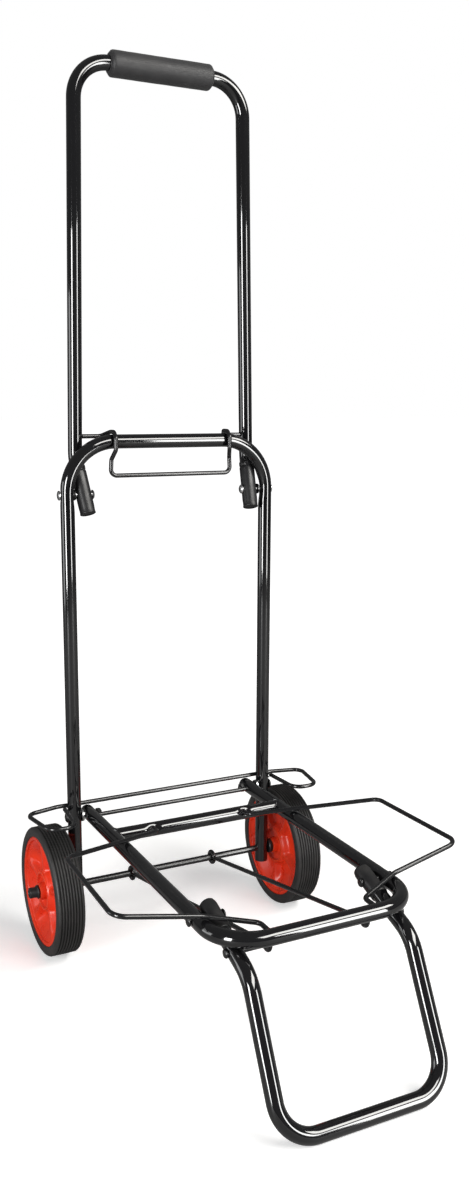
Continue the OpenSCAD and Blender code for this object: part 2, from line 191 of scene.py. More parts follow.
groups = {
    "paintSkin": buildPaintSkin(),
    "scuffs": buildScuffs(),
    "edgeRub": buildEdgeRub(),
    "settledDust": buildSettledDust(),
}


def useGroup(tree, name, **values):
    node = addNode(tree, "ShaderNodeGroup", node_tree=groups[name])
    for label, value in values.items():
        node.inputs[label.replace("_", " ")].default_value = value
    return node.outputs


def mixColour(tree, mask, a, b):
    node = addNode(tree, "ShaderNodeMix", {"Factor": mask}, data_type="RGBA")
    for socket, value in ((node.inputs[6], a), (node.inputs[7], b)):
        if isinstance(value, bpy.types.NodeSocket):
            tree.links.new(value, socket)
        else:
            socket.default_value = (*value, 1)
    return node.outputs[2]


def bump(tree, height, distance, strength=1.0):
    return addNode(tree, "ShaderNodeBump", {
        "Height": height, "Distance": distance, "Strength": strength,
    }).outputs["Normal"]


def newMaterial(name, colour, **values):
    material = bpy.data.materials.new(name)
    material.use_nodes = True
    material.diffuse_color = (*colour, 1)
    tree = material.node_tree
    shader = tree.nodes["Principled BSDF"]
    shader.inputs["Base Color"].default_value = (*colour, 1)
    for label, value in values.items():
        shader.inputs[label.replace("_", " ")].default_value = value
    return material, tree, shader


def feed(tree, shader, **sources):
    for label, socket in sources.items():
        tree.links.new(socket, shader.inputs[label.replace("_", " ")])


glossPaint = {
    "colour": (0.0035, 0.0035, 0.0042), "dusty": (0.02, 0.0195, 0.019), "worn": (0.009, 0.009, 0.010),
    "ripple": 40, "bumpDistance": 0.0000006, "smooth": 0.05, "rough": 0.10, "ior": 1.6, "coat": 0.8,
    "coatRough": 0.04,
}
satinPaint = {
    "colour": (0.007, 0.007, 0.0078), "dusty": (0.03, 0.029, 0.028), "worn": (0.02, 0.02, 0.021),
    "ripple": 300, "bumpDistance": 0.00001, "smooth": 0.16, "rough": 0.28, "ior": 1.55, "coat": 0.4,
    "coatRough": 0.12,
}


def paintMaterial(name, look):
    material, tree, shader = newMaterial(name, look["colour"], IOR=look["ior"], Coat_Weight=look["coat"],
                                         Coat_Roughness=look["coatRough"])
    skin = useGroup(tree, "paintSkin", Ripple_Scale=look["ripple"], Nibs=0.03)
    marks = useGroup(tree, "scuffs", Scale=30, Amount=0.3, Hairlines=0.03)["Mask"]
    dust = useGroup(tree, "settledDust", Scale=16, Amount=0.15)["Mask"]
    rub = useGroup(tree, "edgeRub", Radius=0.0008, Low=0.05, High=0.4)["Mask"]
    colour = mixColour(tree, marks, look["colour"], look["worn"])
    colour = mixColour(tree, rub, colour, look["worn"])
    colour = mixColour(tree, dust, colour, look["dusty"])
    rough = fade(tree, skin["Tone"], 0.3, 0.7, look["smooth"], look["rough"])
    rough = maths(tree, "ADD", rough, maths(tree, "MULTIPLY", marks, 0.12))
    rough = maths(tree, "ADD", rough, maths(tree, "MULTIPLY", dust, 0.2), clamp=True)
    feed(tree, shader, Base_Color=colour, Roughness=rough,
         Normal=bump(tree, skin["Height"], look["bumpDistance"]))
    return material


def plasticMaterial(name, colour, worn):
    material, tree, shader = newMaterial(name, colour, IOR=1.48)
    point = objectPoint(tree)
    grain = noiseAt(tree, point, 1800, 2.0)
    marks = useGroup(tree, "scuffs", Scale=60, Amount=0.5, Hairlines=0.4)["Mask"]
    rub = useGroup(tree, "edgeRub", Radius=0.0012, Low=0.02, High=0.3)["Mask"]
    dust = useGroup(tree, "settledDust", Scale=25, Amount=0.3)["Mask"]
    tint = mixColour(tree, maths(tree, "MULTIPLY", marks, 0.5), colour, worn)
    tint = mixColour(tree, maths(tree, "MULTIPLY", rub, 0.6), tint, worn)
    tint = mixColour(tree, dust, tint, (0.09, 0.087, 0.083))
    rough = fade(tree, noiseAt(tree, point, 30, 4.0, 0.6), 0.3, 0.7, 0.28, 0.42)
    feed(tree, shader, Base_Color=tint,
         Roughness=maths(tree, "ADD", rough, maths(tree, "MULTIPLY", marks, 0.2)),
         Normal=bump(tree, grain, 0.00002))
    return material


def zincMaterial():
    material, tree, shader = newMaterial("zincPlate", (0.62, 0.63, 0.65), Metallic=1.0)
    point = objectPoint(tree)
    spangle = addNode(tree, "ShaderNodeTexVoronoi", {"Vector": point, "Scale": 420}).outputs["Color"]
    tone = addNode(tree, "ShaderNodeSeparateColor", {0: spangle}).outputs[0]
    marks = useGroup(tree, "scuffs", Scale=90, Amount=0.6, Hairlines=0.7)["Mask"]
    rub = useGroup(tree, "edgeRub", Radius=0.0006, Low=0.03, High=0.3)["Mask"]
    colour = mixColour(tree, fade(tree, tone, 0.0, 1.0, 0.2, 0.8), (0.52, 0.53, 0.55), (0.74, 0.74, 0.73))
    colour = mixColour(tree, rub, colour, (0.85, 0.85, 0.83))
    rough = maths(tree, "ADD", fade(tree, tone, 0.0, 1.0, 0.22, 0.34), maths(tree, "MULTIPLY", marks, 0.18))
    feed(tree, shader, Base_Color=colour, Roughness=rough,
         Normal=bump(tree, noiseAt(tree, point, 2500, 2.0), 0.00002))
    return material


def redMaterial():
    base, pale, deep = (0.84, 0.042, 0.008), (0.95, 0.15, 0.045), (0.66, 0.022, 0.004)
    material, tree, shader = newMaterial("redHubPlastic", base, IOR=1.5)
    point = objectPoint(tree)
    flow = noiseAt(tree, point, 22, 5.0, 0.6)
    colour = mixColour(tree, fade(tree, flow, 0.3, 0.7), deep, base)
    rub = useGroup(tree, "edgeRub", Radius=0.0018, Low=0.01, High=0.25)["Mask"]
    colour = mixColour(tree, maths(tree, "MULTIPLY", rub, 0.75), colour, pale)
    marks = useGroup(tree, "scuffs", Scale=45, Amount=0.4, Hairlines=0.4)["Mask"]
    colour = mixColour(tree, maths(tree, "MULTIPLY", marks, 0.35), colour, pale)
    dust = useGroup(tree, "settledDust", Scale=30, Amount=0.18)["Mask"]
    colour = mixColour(tree, dust, colour, (0.6, 0.24, 0.16))
    rough = maths(tree, "ADD", fade(tree, flow, 0.3, 0.7, 0.24, 0.36), maths(tree, "MULTIPLY", marks, 0.2))
    height = maths(tree, "ADD", noiseAt(tree, point, 1500, 2.0),
                   maths(tree, "MULTIPLY", noiseAt(tree, point, 120, 2.0), 2.0))
    feed(tree, shader, Base_Color=colour, Roughness=rough, Normal=bump(tree, height, 0.00002))
    return material


def rubberMaterial():
    base = (0.022, 0.021, 0.021)
    material, tree, shader = newMaterial("tyreRubber", base, IOR=1.5)
    point = objectPoint(tree)
    bloom = fade(tree, noiseAt(tree, point, 26, 5.0, 0.65), 0.4, 0.75)
    marks = useGroup(tree, "scuffs", Scale=70, Amount=0.7, Hairlines=0.3)["Mask"]
    rub = useGroup(tree, "edgeRub", Radius=0.0006, Low=0.02, High=0.4)["Mask"]
    colour = mixColour(tree, bloom, base, (0.035, 0.033, 0.032))
    colour = mixColour(tree, maths(tree, "MULTIPLY", marks, 0.5), colour, (0.07, 0.066, 0.062))
    colour = mixColour(tree, maths(tree, "MULTIPLY", rub, 0.5), colour, (0.085, 0.08, 0.075))
    rough = fade(tree, bloom, 0.0, 1.0, 0.42, 0.6)
    height = maths(tree, "ADD", noiseAt(tree, point, 1100, 3.0),
                   maths(tree, "MULTIPLY", noiseAt(tree, point, 3200, 1.0), 0.5))
    feed(tree, shader, Base_Color=colour, Roughness=rough, Normal=bump(tree, height, 0.00006))
    return material


def foamMaterial():
    base = (0.032, 0.031, 0.033)
    material, tree, shader = newMaterial("gripFoam", base, IOR=1.45, Sheen_Weight=0.1, Sheen_Roughness=0.5)
    point = objectPoint(tree)
    cells = addNode(tree, "ShaderNodeTexVoronoi", {"Vector": point, "Scale": 1300},
                    feature="F1").outputs["Distance"]
    pores = fade(tree, cells, 0.15, 0.6)
    blotch = noiseAt(tree, point, 45, 4.0, 0.6)
    colour = mixColour(tree, fade(tree, blotch, 0.3, 0.7), (0.027, 0.0265, 0.028), (0.037, 0.036, 0.037))
    # painted shade: the pits of the foam's cells, where the bump sinks, are darkened in colour
    colour = mixColour(tree, maths(tree, "SUBTRACT", 1.0, pores), colour, (0.018, 0.0175, 0.018))
    rub = useGroup(tree, "edgeRub", Radius=0.0015, Low=0.02, High=0.35)["Mask"]
    colour = mixColour(tree, maths(tree, "MULTIPLY", rub, 0.4), colour, (0.06, 0.058, 0.058))
    rough = fade(tree, blotch, 0.3, 0.7, 0.42, 0.52)
    height = maths(tree, "ADD", pores, maths(tree, "MULTIPLY", noiseAt(tree, point, 260, 3.0), 1.5))
    feed(tree, shader, Base_Color=colour, Roughness=rough, Normal=bump(tree, height, 0.00009))
    return material


materials = {
    "painted_tube": paintMaterial("glossBlackPaint", glossPaint),
    "painted_wire": paintMaterial("satinBlackPaint", satinPaint),
    "black_plastic": plasticMaterial("mouldedBlack", (0.012, 0.012, 0.013), (0.045, 0.045, 0.047)),
    "zinc": zincMaterial(),
    "red_plastic": redMaterial(),
    "tyre": rubberMaterial(),
    "foam": foamMaterial(),
}
print("materials made:", len(materials))


# geometry node trees

def geometryTree(name, inputs):
    tree = bpy.data.node_groups.new(name, "GeometryNodeTree")
    tree.interface.new_socket("Geometry", in_out="INPUT", socket_type="NodeSocketGeometry")
    for label, (kind, value) in inputs.items():
        socket = tree.interface.new_socket(label, in_out="INPUT", socket_type="NodeSocket" + kind)
        if value is not None:
            socket.default_value = value
    tree.interface.new_socket("Geometry", in_out="OUTPUT", socket_type="NodeSocketGeometry")
    return tree, tree.nodes.new("NodeGroupInput").outputs, tree.nodes.new("NodeGroupOutput").inputs


def finishTree(tree, given, result, geometry):
    real = addNode(tree, "GeometryNodeRealizeInstances", {"Geometry": geometry}).outputs[0]
    painted = addNode(tree, "GeometryNodeSetMaterial",
                      {"Geometry": real, "Material": given["Material"]}).outputs[0]
    tree.links.new(painted, result["Geometry"])
    return tree


def buildSweep():
    # a round section drawn along the given line, with an optional ripple for a weld bead
    tree, given, result = geometryTree("sweptRod", {
        "Radius": ("Float", 0.008), "Sides": ("Int", 32), "Ripple": ("Float", 0.0),
        "Ripple Scale": ("Float", 900.0), "Seed": ("Float", 1.0), "Material": ("Material", None),
    })
    line = addNode(tree, "GeometryNodeMeshToCurve", {"Mesh": given["Geometry"]}).outputs[0]
    section = addNode(tree, "GeometryNodeCurvePrimitiveCircle",
                      {"Resolution": given["Sides"], "Radius": given["Radius"]})
    wave = addNode(tree, "ShaderNodeTexNoise",
                   {"W": given["Seed"], "Scale": given["Ripple Scale"], "Detail": 1.0},
                   noise_dimensions="4D").outputs["Fac"]
    wave = addNode(tree, "ShaderNodeMath", {0: wave, 1: 0.5}, operation="SUBTRACT").outputs[0]
    swell = addNode(tree, "ShaderNodeMath", {0: wave, 1: given["Ripple"], 2: 1.0},
                    operation="MULTIPLY_ADD").outputs[0]
    rod = addNode(tree, "GeometryNodeCurveToMesh", {
        "Curve": line, "Profile Curve": section.outputs["Curve"], "Scale": swell, "Fill Caps": True,
    }).outputs[0]
    smooth = addNode(tree, "GeometryNodeSetShadeSmooth", {"Geometry": rod}).outputs[0]
    return finishTree(tree, given, result, smooth)


trees = {"sweptRod": buildSweep()}


def grown(base, treeName, **values):
    # runs a tree on a base mesh and returns the plain mesh it makes
    obj = bpy.data.objects.new("growing", base)
    scene.collection.objects.link(obj)
    modifier = obj.modifiers.new("grow", "NODES")
    modifier.node_group = trees[treeName]
    for item in trees[treeName].interface.items_tree:
        key = item.name.replace(" ", "_")
        if item.in_out == "INPUT" and key in values:
            modifier[item.identifier] = values[key]
    graph = bpy.context.evaluated_depsgraph_get()
    made = bpy.data.meshes.new_from_object(obj.evaluated_get(graph), depsgraph=graph)
    obj.modifiers.remove(modifier)
    bpy.data.objects.remove(obj)
    return made


# mesh helpers

def cornerCut(points, bends, i):
    if i in (0, len(points) - 1) or not bends[i]:
        return 0.0
    angle = (points[i] - points[i - 1]).angle(points[i + 1] - points[i])
    return bends[i] * mm * math.tan(angle / 2)


def bentLine(points, bends, step=5.0):
    # a line of points through the corners, rounded to each bend radius
    line = []
    for i, corner in enumerate(points):
        if i:
            start = points[i - 1] + (corner - points[i - 1]).normalized() * cornerCut(points, bends, i - 1)
            end = corner - (corner - points[i - 1]).normalized() * cornerCut(points, bends, i)
            count = max(1, round((end - start).length / (step * mm)))
            line += [start.lerp(end, k / count) for k in range(1 if line else 0, count + 1)]
        cut = cornerCut(points, bends, i)
        if cut:
            before = (corner - points[i - 1]).normalized()
            after = (points[i + 1] - corner).normalized()
            angle = before.angle(after)
            inward = (after - before * before.dot(after)).normalized()
            centre = corner - before * cut + inward * bends[i] * mm
            count = max(5, math.ceil(math.degrees(angle) / 5))
            for k in range(1, count + 1):
                a = angle * k / count
                line.append(centre + (before * math.sin(a) - inward * math.cos(a)) * bends[i] * mm)
    return line


def lineMesh(line, closed=False):
    mesh = bpy.data.meshes.new("line")
    edges = [(k, k + 1) for k in range(len(line) - 1)]
    if closed:
        edges.append((len(line) - 1, 0))
    mesh.from_pydata([tuple(p) for p in line], edges, [])
    return mesh


def rod(points, bends, radius, slot, sides=32, step=5.0, **more):
    return grown(lineMesh(bentLine(points, bends, step)), "sweptRod", Radius=radius * mm, Sides=sides,
                 Material=materials[slot], **more)


def lathe(profile, centre, direction, slot, sides=64, hardAngle=35):
    # turns (radius, along) pairs in millimetres about a line
    mesh = bmesh.new()
    along = Vector(direction).normalized()
    side = along.orthogonal().normalized()
    other = along.cross(side)
    rings = []
    for radius, reach in profile:
        foot = centre + along * reach * mm
        if radius < 1e-6:
            rings.append([mesh.verts.new(foot)])
            continue
        rings.append([
            mesh.verts.new(foot + (side * math.cos(a) + other * math.sin(a)) * radius * mm)
            for a in (2 * math.pi * k / sides for k in range(sides))
        ])
    for first, second in zip(rings, rings[1:]):
        for k in range(sides):
            n = (k + 1) % sides
            quad = [first[k % len(first)], first[n % len(first)], second[n % len(second)],
                    second[k % len(second)]]
            corners = [v for i, v in enumerate(quad) if v not in quad[:i]]
            if len(corners) > 2:
                mesh.faces.new(corners)
    bmesh.ops.recalc_face_normals(mesh, faces=mesh.faces)
    return meshFrom(mesh, slot, hardAngle)


def meshFrom(mesh, slot, hardAngle=35):
    made = bpy.data.meshes.new("made")
    for face in mesh.faces:
        face.smooth = True
    for edge in mesh.edges:
        edge.smooth = len(edge.link_faces) == 2 and edge.calc_face_angle(0) < math.radians(hardAngle)
    mesh.to_mesh(made)
    mesh.free()
    made.materials.append(materials[slot])
    return made


def piece(name, meshes, slot, body, nodes=()):
    joined = bmesh.new()
    for made in meshes if isinstance(meshes, list) else [meshes]:
        joined.from_mesh(made)
    whole = bpy.data.meshes.new(name)
    joined.to_mesh(whole)
    joined.free()
    whole.materials.append(materials[slot])
    obj = bpy.data.objects.new(name, whole)
    scene.collection.objects.link(obj)
    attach(obj, body)
    if nodes:
        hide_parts(*nodes)
    return obj


def mirrored(made):
    copy = made.copy()
    flip = bmesh.new()
    flip.from_mesh(copy)
    bmesh.ops.scale(flip, vec=(-1, 1, 1), verts=flip.verts)
    bmesh.ops.reverse_faces(flip, faces=flip.faces)
    flip.to_mesh(copy)
    flip.free()
    return copy


def press(made, centre, push, spread):
    # pushes the skin near a point, and fades the push out over the spread in x, y and z
    for v in made.vertices:
        offset = v.co - centre
        far = math.sqrt(sum((o / (s * mm)) ** 2 for o, s in zip(offset, spread)))
        if far < 1:
            t = 1 - far
            v.co += Vector(push) * mm * t * t * (3 - 2 * t)


def openEnd(made, centre, direction, wall, depth):
    # turns the flat cap nearest a point into a tube's open end
    work = bmesh.new()
    work.from_mesh(made)
    direction = Vector(direction)
    caps = [f for f in work.faces if len(f.verts) > 8 and f.normal.dot(direction) > 0.9]
    cap = min(caps, key=lambda f: (f.calc_center_median() - centre).length)
    bmesh.ops.inset_individual(work, faces=[cap], thickness=wall * mm, use_even_offset=True)
    inner = bmesh.ops.extrude_face_region(work, geom=[cap])
    deep = [g for g in inner["geom"] if isinstance(g, bmesh.types.BMVert)]
    bmesh.ops.translate(work, verts=deep, vec=-direction * depth * mm)
    if cap.is_valid:
        bmesh.ops.delete(work, geom=[cap], context="FACES_ONLY")
    work.to_mesh(made)
    work.free()
    return hardenCaps(made)


def hardenCaps(made):
    # keeps a rod's flat ends crisp
    work = bmesh.new()
    work.from_mesh(made)
    for edge in work.edges:
        if len(edge.link_faces) == 2 and edge.calc_face_angle(0) > math.radians(50):
            edge.smooth = False
    work.to_mesh(made)
    work.free()
    return made


# floor, daylight and lamps

studio = {"backdrop": 1.0, "air": 0.12, "floorSeen": 0.9, "floorReflected": 0.25, "glowNear": 0.42,
          "glowFrom": 0.3, "glowTo": 1.5, "size": 60.0}
lamps = {
    "overheadBox": {"at": (1.05, -1.5, 2.0), "look": (0, -0.2, 0.2), "size": (2.4, 0.8), "power": 62,
                    "colour": (1, 0.985, 0.95)},
    "leftBox": {"at": (-1.85, -1.0, 0.62), "look": (0, 0.1, 0.6), "size": (0.5, 1.1), "power": 34,
                "colour": (1, 1, 1)},
    "rightBox": {"at": (1.05, -1.8, 0.62), "look": (0, 0.1, 0.6), "size": (0.45, 1.1), "power": 20,
                 "colour": (1, 1, 0.99)},
    "rimBox": {"at": (-2.2, 0.75, 0.5), "look": (0, 0.1, 0.3), "size": (1.0, 1.0), "power": 8,
               "colour": (0.98, 0.99, 1)},
}


def cameraSees(tree):
    return addNode(tree, "ShaderNodeLightPath").outputs["Is Camera Ray"]


def makeFloor():
    mesh = bpy.data.meshes.new("studioFloor")
    half = studio["size"] / 2
    mesh.from_pydata([(-half, -half, 0), (half, -half, 0), (half, half, 0), (-half, half, 0)], [],
                     [(0, 1, 2, 3)])
    floor = bpy.data.objects.new("studioFloor", mesh)
    scene.collection.objects.link(floor)
    seen, reflected = (studio["floorSeen"],) * 3, (studio["floorReflected"],) * 3
    material, tree, shader = newMaterial("paleFloor", seen, Roughness=0.7)
    point = objectPoint(tree)
    tone = fade(tree, noiseAt(tree, point, 3, 3.0), 0.3, 0.7, 0.98, 1.0)
    pale = mixColour(tree, tone, (0, 0, 0), seen)
    distance = addNode(tree, "ShaderNodeVectorMath", {0: point}, operation="LENGTH").outputs["Value"]
    glow = fade(tree, distance, studio["glowFrom"], studio["glowTo"], studio["glowNear"], 1.0)
    glow = maths(tree, "MULTIPLY", glow, cameraSees(tree))
    feed(tree, shader, Base_Color=mixColour(tree, cameraSees(tree), reflected, pale))
    tree.links.new(mixColour(tree, glow, (0, 0, 0), (1, 1, 1)), shader.inputs["Emission Color"])
    shader.inputs["Emission Strength"].default_value = 1.0
    mesh.materials.append(material)


def softBox(name, lamp):
    data = bpy.data.lights.new(name, "AREA")
    data.shape = "RECTANGLE"
    data.size, data.size_y = lamp["size"]
    data.energy = lamp["power"]
    data.color = lamp["colour"]
    obj = bpy.data.objects.new(name, data)
    scene.collection.objects.link(obj)
    obj.location = lamp["at"]
    obj.rotation_mode = "QUATERNION"
    obj.rotation_quaternion = (Vector(lamp["look"]) - Vector(lamp["at"])).to_track_quat("-Z", "Y")


def makeLight():
    # the backdrop looks white, and what the paint reflects of it is dim
    world = bpy.data.worlds.new("studioAir")
    world.use_nodes = True
    tree = world.node_tree
    strength = fade(tree, cameraSees(tree), 0.0, 1.0, studio["air"], studio["backdrop"])
    background = tree.nodes["Background"]
    background.inputs["Color"].default_value = (1, 1, 1, 1)
    tree.links.new(strength, background.inputs["Strength"])
    scene.world = world
    for name, lamp in lamps.items():
        softBox(name, lamp)


makeFloor()
makeLight()
print("floor and lamps set")


# back frame

tubes = {"radius": 8.0, "wall": 1.5, "sides": 40}
backFrame = {"legX": 125, "top": 596, "bottom": 58, "bend": 57}
pivots = {"handleY": 3, "handleZ": 537, "platformZ": 160}


def makeBackFrame():
    b = backFrame
    points = [place(-b["legX"], 0, b["bottom"]), place(-b["legX"], 0, b["top"]),
              place(b["legX"], 0, b["top"]), place(b["legX"], 0, b["bottom"])]
    frameTube = rod(points, [0, b["bend"], b["bend"], 0], tubes["radius"], "painted_tube", tubes["sides"],
                    3.0)
    for side in (-1, 1):
        inner = place(side * (b["legX"] - 8), pivots["handleY"], pivots["handleZ"])
        outer = place(side * (b["legX"] + 8), pivots["handleY"], pivots["handleZ"])
        press(frameTube, inner, (side * 1.9, 0, 0), (9, 13, 21))
        press(frameTube, outer, (-side * 0.9, 0, 0), (6, 9, 12))
        press(frameTube, place(side * (b["legX"] + 8), 0, pivots["platformZ"]), (-side * 0.5, 0, 0),
              (6, 9, 11))
        openEnd(frameTube, place(side * b["legX"], 0, b["bottom"]), (0, 0, -1), tubes["wall"], 30)
    piece("backFrameTube", frameTube, "painted_tube", "frame", ["back_frame"])


makeBackFrame()


# rear rack wire and its welds

rack = {"z": 171, "back": 10.5, "wire": 2.5,
        "ring": [(137, -1), (141, -57), (172, -57), (182, 1), (143, 10.5)],
        "bends": [0, 15, 15, 12, 30], "weld": 0.8}


def weldBead(line, radius, closed=False, seed=1.0):
    return grown(lineMesh(line, closed), "sweptRod", Radius=radius * mm, Sides=10, Ripple=0.5,
                 Ripple_Scale=700.0, Seed=seed, Material=materials["painted_wire"])


def makeRack():
    right = [place(x, y, rack["z"]) for x, y in rack["ring"]]
    left = [place(-x, y, rack["z"]) for x, y in rack["ring"]]
    wire = rod(left + right[::-1], rack["bends"] + rack["bends"][::-1], rack["wire"], "painted_wire", 20, 4.0)
    piece("rearRackWire", hardenCaps(wire), "painted_wire", "frame", ["rear_rack_wire"])
    beads = []
    for side in (-1, 1):
        for lift in (-2.0, 2.0):
            line = [place(side * (backFrame["legX"] + x), 8.2 - x * x * 0.035,
                          rack["z"] + lift) for x in range(-4, 5)]
            beads.append(weldBead(line, rack["weld"], seed=side + lift))
            line = [place(side * 133.6, y, rack["z"] + lift * 0.9) for y in (-3, -2, -1, 0, 1)]
            beads.append(weldBead(line, rack["weld"], seed=side * 2 + lift))
    piece("rackWelds", beads, "painted_wire", "frame")


makeRack()
print("back frame and rack done")


# axle, washers, caps, rivets and bolts

hardware = {
    "axleReach": 176, "axleZ": 75, "washer": (133, 137.7, 9), "capStart": 171.3,
    "rivetOuter": 133, "rivetInner": 92.3, "bolt": (92, 133), "nut": (93.2, 97.7, 5.8),
    "spacer": (114.3, 117, 7), "rivetWasher": (115.1, 116.7, 6),
}


def bothEnds(build):
    right = build()
    return [right, mirrored(right)]


def diskRing(start, end, outer, inner, y, z, slot, round_=0.3):
    profile = [(inner, start), (outer - round_, start), (outer, start + round_), (outer, end - round_),
               (outer - round_, end), (inner, end), (inner, start)]
    return lathe(profile, place(0, y, z), (1, 0, 0), slot, 48)


def pinProfile(start, end, radius, head, thick):
    # a pin with a low domed head at its outer end
    dome = [(head * math.cos(a), end + thick * 0.35 + thick * 0.65 * math.sin(a))
            for a in (math.radians(d) for d in (0, 18, 36, 54, 72, 90))]
    return [(0, start), (radius, start), (radius, end), (head - 0.2, end),
            (head, end + 0.2)] + dome[:-1] + [(0, end + thick)]


def makeHardware():
    h = hardware
    axleLine = place(0, 0, h["axleZ"])
    boltLine = place(0, 0, pivots["platformZ"])
    reach = h["axleReach"]
    shaftProfile = [(0, -reach), (3.4, -reach), (4, -reach + 0.8), (4, reach - 0.8), (3.4, reach), (0, reach)]
    shaft = lathe(shaftProfile, axleLine, (1, 0, 0), "painted_wire", 40)
    piece("axleShaft", shaft, "painted_wire", "frame", ["axle"])
    start, end, outer = h["washer"]
    rings = bothEnds(lambda: diskRing(start, end, outer, 4, 0, h["axleZ"], "black_plastic", 0.8))
    piece("axleSpacerRings", rings, "black_plastic", "frame", ["axle_washers"])
    cap = h["capStart"]
    capProfile = [(4, cap), (7.6, cap), (8, cap + 0.4), (8, cap + 1.5), (7.5, cap + 2), (6.6, cap + 2.1),
                  (6.2, cap + 2.6), (6.2, cap + 10.2), (5.5, cap + 11), (3.6, cap + 11), (3.2, cap + 10.3),
                  (0, cap + 10.3)]
    caps = bothEnds(lambda: lathe(capProfile, axleLine, (1, 0, 0), "black_plastic", 48, 50))
    piece("axleEndCaps", caps, "black_plastic", "frame", ["axle_caps"])

    def rivet():
        centre = place(0, pivots["handleY"], pivots["handleZ"])
        inner = h["rivetInner"]
        outerHead = lathe(pinProfile(inner + 1, h["rivetOuter"], 3, 5.5, 2.5), centre, (1, 0, 0), "zinc", 48)
        innerProfile = [(0, inner), (2.4, inner + 0.2), (4.4, inner + 0.9), (5.3, inner + 1.7),
                        (5.5, inner + 2.3), (5.3, inner + 2.5), (0, inner + 2.5)]
        innerHead = lathe(innerProfile, centre, (1, 0, 0), "zinc", 48, 50)
        both = bmesh.new()
        both.from_mesh(outerHead)
        both.from_mesh(innerHead)
        return meshFrom(both, "zinc", 50)

    piece("handleRivets", bothEnds(rivet), "zinc", "frame", ["handle_rivets"])
    start, end, outer = h["rivetWasher"]
    washers = bothEnds(lambda: diskRing(start, end, outer, 3, pivots["handleY"], pivots["handleZ"],
                                        "painted_wire"))
    piece("rivetWashers", washers, "painted_wire", "frame", ["rivet_washers"])
    start, end = h["bolt"]
    bolts = bothEnds(lambda: lathe(pinProfile(start, end, 3, 6, 3.5), boltLine, (1, 0, 0),
                                   "painted_wire", 48, 50))
    piece("platformBolts", bolts, "painted_wire", "frame", ["platform_bolts"])
    start, end, outer = h["nut"]

    def nut():
        sides = [(3, start), (outer - 0.5, start), (outer, start + 0.6), (outer, end - 0.6),
                 (outer - 0.5, end), (3, end), (3, start)]
        return lathe(sides, boltLine, (1, 0, 0), "painted_wire", 6, 10)

    piece("platformBoltNuts", bothEnds(nut), "painted_wire", "frame", ["platform_bolt_nuts"])
    start, end, outer = h["spacer"]
    piece("platformSpacers", bothEnds(lambda: diskRing(start, end, outer, 3, 0, pivots["platformZ"], "zinc")),
          "zinc", "frame", ["platform_spacers"])


makeHardware()
print("axle, rivets and bolts done")


# wheels

wheel = {"centre": 154.5, "half": 16.5, "tyre": 75, "hub": 63.5, "rim": 4.5, "boss": 10, "bore": 4.06,
         "ribs": 5, "ribHalf": 1.6, "ringIn": 20, "ringOut": 22.5, "grooves": 8}


def soft(t):
    t = min(1.0, max(0.0, t))
    return t * t * (3 - 2 * t)


def hubDepth(radius, angle):
    # how far the hub's face lies below the rim's edge, in millimetres
    w = wheel
    rimIn = w["hub"] - w["rim"]
    lip = soft((radius - (rimIn - 0.8)) / 1.6)
    dish = 3.0 + 9.5 * soft((rimIn + 1 - radius) / 22)
    period = 2 * math.pi / w["ribs"]
    offset = abs((angle - period / 2) % period - period / 2)
    offset = min(offset, period - offset)
    across = radius * math.sin(min(offset, math.pi / 2))
    pocket = soft((across - w["ribHalf"]) / (3.0 + 0.09 * radius)) * soft((radius - 23) / 5)
    depth = dish * pocket + (1 - pocket) * (5.2 - 2.4 * soft((radius - 30) / 28))
    ring = soft((radius - w["ringIn"] + 0.5) / 0.9) * soft((w["ringOut"] + 0.5 - radius) / 0.9)
    depth = depth * (1 - ring) + 3.2 * ring
    inside = soft((w["ringIn"] - 0.4 - radius) / 0.9) * soft((radius - w["boss"] + 0.2) / 0.8)
    depth = depth * (1 - inside) + 7.0 * inside
    boss = soft((w["boss"] + 0.4 - radius) / 0.8)
    depth = depth * (1 - boss) + 0.3 * boss
    return depth * (1 - lip) + 0.2 * lip


def hubMesh(side):
    w = wheel
    centre = place(side * w["centre"], 0, 75)
    radii = [w["bore"], 6, 8, 9.2, 9.6, 10, 10.4, 10.8, 12, 15, 18, 19.1, 19.5, 19.9, 20.3, 21, 22, 22.4,
             22.8, 23.2, 23.6]
    radii += [24 + 1.5 * k for k in range(22)] + [57.2, 57.8, 58.1, 58.4, 58.7, 59, 59.3, 60.5, 62, 62.9,
                                                  63.5]
    count = 240
    work = bmesh.new()
    faces = {}
    for face in (-1, 1):
        for r, radius in enumerate(radii):
            for k in range(count):
                a = 2 * math.pi * k / count
                x = face * (w["half"] - 1 - hubDepth(radius, a))
                if radius > 62.5:
                    x -= face * (0.5 if radius < 63 else 1.0)
                if radius < 9.5:
                    x = face * (w["half"] - 0.3)
                spot = centre + Vector((x, -math.sin(a) * radius, -math.cos(a) * radius * side)) * mm
                faces[face, r, k] = work.verts.new(spot)
    for face in (-1, 1):
        for r in range(len(radii) - 1):
            for k in range(count):
                n = (k + 1) % count
                work.faces.new([faces[face, r, k], faces[face, r + 1, k], faces[face, r + 1, n],
                                faces[face, r, n]])
    for r in (0, len(radii) - 1):
        for k in range(count):
            n = (k + 1) % count
            work.faces.new([faces[-1, r, k], faces[1, r, k], faces[1, r, n], faces[-1, r, n]])
    bmesh.ops.recalc_face_normals(work, faces=work.faces)
    return meshFrom(work, "red_plastic", 40)


